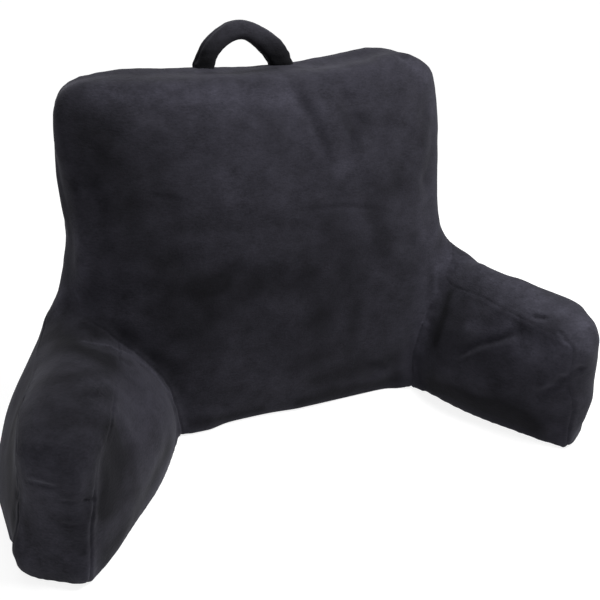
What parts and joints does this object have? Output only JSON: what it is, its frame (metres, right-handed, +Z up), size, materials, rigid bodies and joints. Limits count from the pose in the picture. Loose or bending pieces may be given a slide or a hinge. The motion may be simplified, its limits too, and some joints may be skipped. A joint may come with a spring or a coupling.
{
  "type": "reading pillow",
  "caption": "Free-standing filled reading pillow in dark plush: a tall back, a splayed arm at each side with a strip of cloth down its front, and a carry handle on top.",
  "frame": {"origin": "on the floor, under the middle of the whole pillow", "axes": "+X to the right of someone who faces the pillow's front, along its width; -Y out of its front, the way the sitter faces; +Z up"},
  "size_m": [0.7164, 0.3942, 0.4779],
  "materials": {
    "plush": "short dark charcoal plush pile",
    "band_plush": "short dark charcoal plush pile, laid the other way",
    "handle_plush": "short near-black plush pile"
  },
  "bodies": {
    "root": {"back_cushion": "plush", "arm_left": "plush", "arm_right": "plush", "arm_left_band": "band_plush", "arm_right_band": "band_plush", "carry_handle": "handle_plush"}
  },
  "joints": []
}
